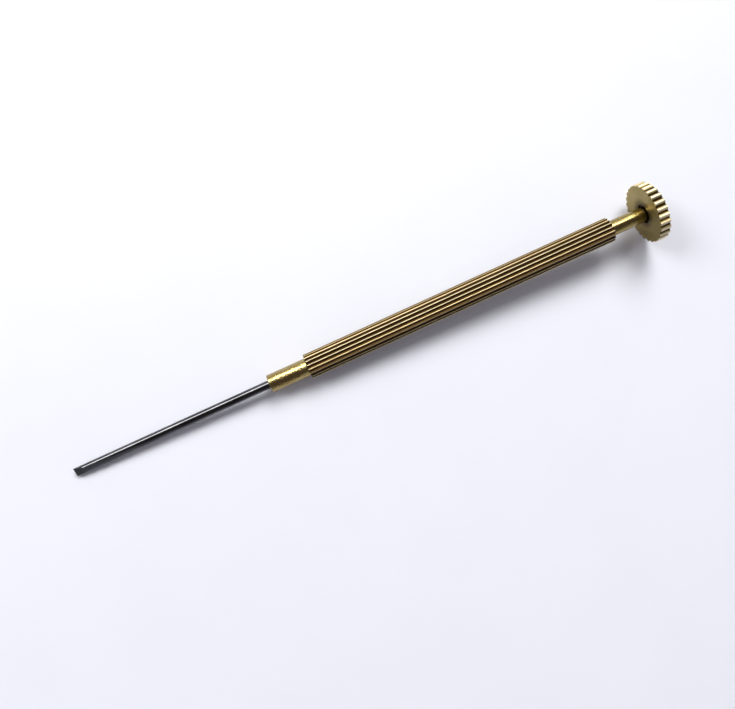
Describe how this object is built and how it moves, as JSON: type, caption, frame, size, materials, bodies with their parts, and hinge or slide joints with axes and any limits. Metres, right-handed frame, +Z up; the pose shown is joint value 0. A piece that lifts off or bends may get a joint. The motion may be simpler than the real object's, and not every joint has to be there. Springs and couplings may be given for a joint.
{
  "type": "watchmaker screwdriver",
  "caption": "Slim brass watchmaker's screwdriver: round steel blade with a ground flat tip, plain collar, fluted handle and a revolving toothed finger wheel.",
  "frame": {"origin": "below the middle of the tool's length, on the surface that the wheel's rim stands on", "axes": "+X along the tool from the blade's tip to the wheel, +Z up with the tool lying down"},
  "size_m": [0.0892, 0.0086, 0.0087],
  "materials": {
    "blade_steel": "dark polished steel",
    "collar_brass": "bright turned brass",
    "handle_brass": "fluted brass, slightly darkened in the flutes",
    "neck_brass": "bright turned brass",
    "wheel_brass": "satin brass with a slight olive tarnish",
    "screw_steel": "plain steel"
  },
  "bodies": {
    "handle": {"handle_grip": "handle_brass", "nose_collar": "collar_brass", "neck_spindle": "neck_brass", "thrust_washer": "screw_steel", "cap_washer": "screw_steel", "pivot_screw": "screw_steel"},
    "wheel": {"finger_wheel": "wheel_brass"},
    "blade": {"blade": "blade_steel"},
    "set_screw": {"blade_set_screw": "screw_steel"}
  },
  "joints": [
    {"name": "wheel_spin", "type": "hinge", "parent": "handle", "child": "wheel", "pos_m": [0.04385, 0, 0.00433], "axis": [1, 0, 0], "continuous": true},
    {"name": "blade_pull", "type": "slide", "parent": "handle", "child": "blade", "axis": [-1, 0, 0], "range_m": [0, 0.008]},
    {"name": "set_screw_turn", "type": "hinge", "parent": "handle", "child": "set_screw", "pos_m": [-0.0122, 0, 0.00433], "axis": [0, 0, -1], "range_deg": [0, 360]}
  ]
}
